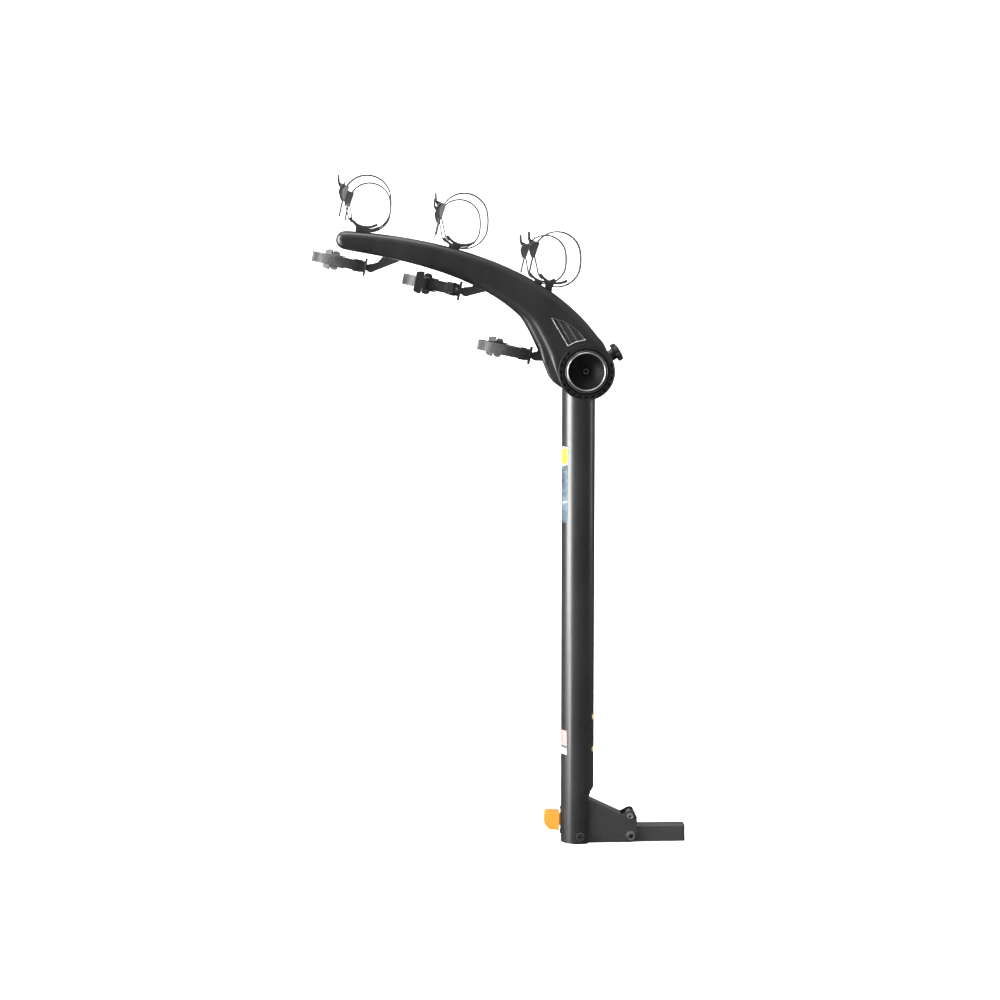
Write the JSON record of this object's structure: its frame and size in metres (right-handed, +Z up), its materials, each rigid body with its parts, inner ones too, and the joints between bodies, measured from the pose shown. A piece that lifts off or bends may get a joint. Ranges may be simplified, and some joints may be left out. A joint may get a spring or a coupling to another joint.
{
  "type": "hitch mounted bike rack",
  "caption": "Bike rack on a tilting mast with two folding curved arms, strap cradles along each arm, swivelling stabilizer cradles and a square shank for a hitch receiver.",
  "frame": {"origin": "where the axis of the hitch bolt's tapped hole crosses the axis of the square shank", "axes": "+Z up along the upright mast; +X along the shank, towards the vehicle; +Y along the hitch bolt's axis, out of its tapped hole's mouth, towards the left arm"},
  "size_m": [0.7193, 0.4626, 1.2731],
  "materials": {
    "frame_coat": "satin",
    "steel": "satin",
    "zinc": "bright zinc",
    "black_steel": "satin",
    "plastic": "fine texture",
    "arm_shell": "satin",
    "bushing": "matte",
    "label": "gloss",
    "yellow": "satin",
    "gloss": "gloss",
    "silver": "satin",
    "grille": "satin",
    "buckle": "satin",
    "strap": "matte"
  },
  "bodies": {
    "base": {"shank_tube": "frame_coat", "threaded_block": "steel", "shank_end_cap": "plastic", "tilt_bracket": "frame_coat", "bracket_bolts": "zinc", "bracket_nuts": "zinc", "bracket_spacer": "steel", "latch_bar": "steel"},
    "mast": {"mast_tube": "frame_coat", "cross_tube": "frame_coat", "pivot_bolt": "black_steel", "pivot_nut": "black_steel", "pivot_bushings": "bushing", "latch_housing": "plastic", "pedal_pin": "steel", "latch_spring": "steel", "mast_stickers": "label", "right_index_drum": "plastic", "left_index_drum": "plastic", "right_hub_cap": "gloss", "left_hub_cap": "gloss", "trim_rings": "silver", "hub_screws": "black_steel"},
    "pedal": {"release_pedal": "yellow", "latch_pawl": "steel"},
    "right_arm": {"right_arm": "arm_shell", "right_arm_inlay": "grille", "right_cradles": "plastic", "right_buckles": "buckle", "right_strap_1": "strap", "right_strap_2": "strap", "right_strap_3": "strap", "right_sway_bracket": "plastic"},
    "left_arm": {"left_arm": "arm_shell", "left_arm_inlay": "grille", "left_cradles": "plastic", "left_buckles": "buckle", "left_strap_1": "strap", "left_strap_2": "strap", "left_strap_3": "strap", "left_sway_brackets": "plastic"},
    "right_knob": {"right_lock_knob": "plastic", "right_lock_pin": "steel"},
    "left_knob": {"left_lock_knob": "plastic", "left_lock_pin": "steel"},
    "right_lever_1": {"right_lever_1": "buckle"},
    "right_lever_2": {"right_lever_2": "buckle"},
    "right_lever_3": {"right_lever_3": "buckle"},
    "left_lever_1": {"left_lever_1": "buckle"},
    "left_lever_2": {"left_lever_2": "buckle"},
    "left_lever_3": {"left_lever_3": "buckle"},
    "sway_cradle_1": {"sway_cradle_1": "plastic", "sway_strap_1": "strap"},
    "sway_lever_1": {"sway_lever_1": "buckle"},
    "sway_cradle_2": {"sway_cradle_2": "plastic", "sway_strap_2": "strap"},
    "sway_lever_2": {"sway_lever_2": "buckle"},
    "sway_cradle_3": {"sway_cradle_3": "plastic", "sway_strap_3": "strap"},
    "sway_lever_3": {"sway_lever_3": "buckle"}
  },
  "joints": [
    {"name": "mast_tilt", "type": "hinge", "parent": "base", "child": "mast", "pos_m": [-0.166, 0, -0.001], "axis": [0, -1, 0], "range_deg": [0, 45]},
    {"name": "pedal_turn", "type": "hinge", "parent": "mast", "child": "pedal", "pos_m": [-0.19, 0, 0.058], "axis": [0, -1, 0], "range_deg": [-14, 4], "stiffness_Nm_per_rad": 0.05},
    {"name": "right_arm_fold", "type": "hinge", "parent": "mast", "child": "right_arm", "pos_m": [-0.17, -0.165, 0.902], "axis": [0, -1, 0], "range_deg": [-15, 105]},
    {"name": "right_knob_pull", "type": "slide", "parent": "right_arm", "child": "right_knob", "axis": [0.848, 0, 0.5299], "range_m": [-0.004, 0.003]},
    {"name": "left_arm_fold", "type": "hinge", "parent": "mast", "child": "left_arm", "pos_m": [-0.17, 0.165, 0.902], "axis": [0, -1, 0], "range_deg": [-15, 105]},
    {"name": "left_knob_pull", "type": "slide", "parent": "left_arm", "child": "left_knob", "axis": [0.848, 0, 0.5299], "range_m": [-0.004, 0.003]},
    {"name": "right_lever_1_lift", "type": "hinge", "parent": "right_arm", "child": "right_lever_1", "pos_m": [-0.60824, -0.165, 1.23347], "axis": [0, -1, 0], "range_deg": [0, 70], "stiffness_Nm_per_rad": 0.01, "springref_deg": -28.65},
    {"name": "right_lever_2_lift", "type": "hinge", "parent": "right_arm", "child": "right_lever_2", "pos_m": [-0.43324, -0.165, 1.20147], "axis": [0, -1, 0], "range_deg": [0, 70], "stiffness_Nm_per_rad": 0.01, "springref_deg": -28.65},
    {"name": "right_lever_3_lift", "type": "hinge", "parent": "right_arm", "child": "right_lever_3", "pos_m": [-0.26474, -0.165, 1.13247], "axis": [0, -1, 0], "range_deg": [0, 70], "stiffness_Nm_per_rad": 0.01, "springref_deg": -28.65},
    {"name": "left_lever_1_lift", "type": "hinge", "parent": "left_arm", "child": "left_lever_1", "pos_m": [-0.60619, 0.165, 1.23204], "axis": [0, -1, 0], "range_deg": [0, 70], "stiffness_Nm_per_rad": 0.01, "springref_deg": -28.65},
    {"name": "left_lever_2_lift", "type": "hinge", "parent": "left_arm", "child": "left_lever_2", "pos_m": [-0.43119, 0.165, 1.20004], "axis": [0, -1, 0], "range_deg": [0, 70], "stiffness_Nm_per_rad": 0.01, "springref_deg": -28.65},
    {"name": "left_lever_3_lift", "type": "hinge", "parent": "left_arm", "child": "left_lever_3", "pos_m": [-0.26269, 0.165, 1.13104], "axis": [0, -1, 0], "range_deg": [0, 70], "stiffness_Nm_per_rad": 0.01, "springref_deg": -28.65},
    {"name": "sway_1_swivel", "type": "hinge", "parent": "left_arm", "child": "sway_cradle_1", "pos_m": [-0.5653, 0.165, 1.0885], "axis": [0, -1, 0], "range_deg": [0, 60]},
    {"name": "sway_lever_1_lift", "type": "hinge", "parent": "sway_cradle_1", "child": "sway_lever_1", "pos_m": [-0.63952, 0.21315, 1.10428], "axis": [-0.2079, 0, -0.9781], "range_deg": [0, 70], "stiffness_Nm_per_rad": 0.01, "springref_deg": -28.65},
    {"name": "sway_2_swivel", "type": "hinge", "parent": "right_arm", "child": "sway_cradle_2", "pos_m": [-0.389, -0.165, 1.0468], "axis": [0, -1, 0], "range_deg": [0, 60]},
    {"name": "sway_lever_2_lift", "type": "hinge", "parent": "sway_cradle_2", "child": "sway_lever_2", "pos_m": [-0.46322, -0.21315, 1.06258], "axis": [0.2079, 0, 0.9781], "range_deg": [0, 70], "stiffness_Nm_per_rad": 0.01, "springref_deg": -28.65},
    {"name": "sway_3_swivel", "type": "hinge", "parent": "left_arm", "child": "sway_cradle_3", "pos_m": [-0.2424, 0.165, 0.916], "axis": [0, -1, 0], "range_deg": [0, 60]},
    {"name": "sway_lever_3_lift", "type": "hinge", "parent": "sway_cradle_3", "child": "sway_lever_3", "pos_m": [-0.31662, 0.21315, 0.93178], "axis": [-0.2079, 0, -0.9781], "range_deg": [0, 70], "stiffness_Nm_per_rad": 0.01, "springref_deg": -28.65}
  ]
}
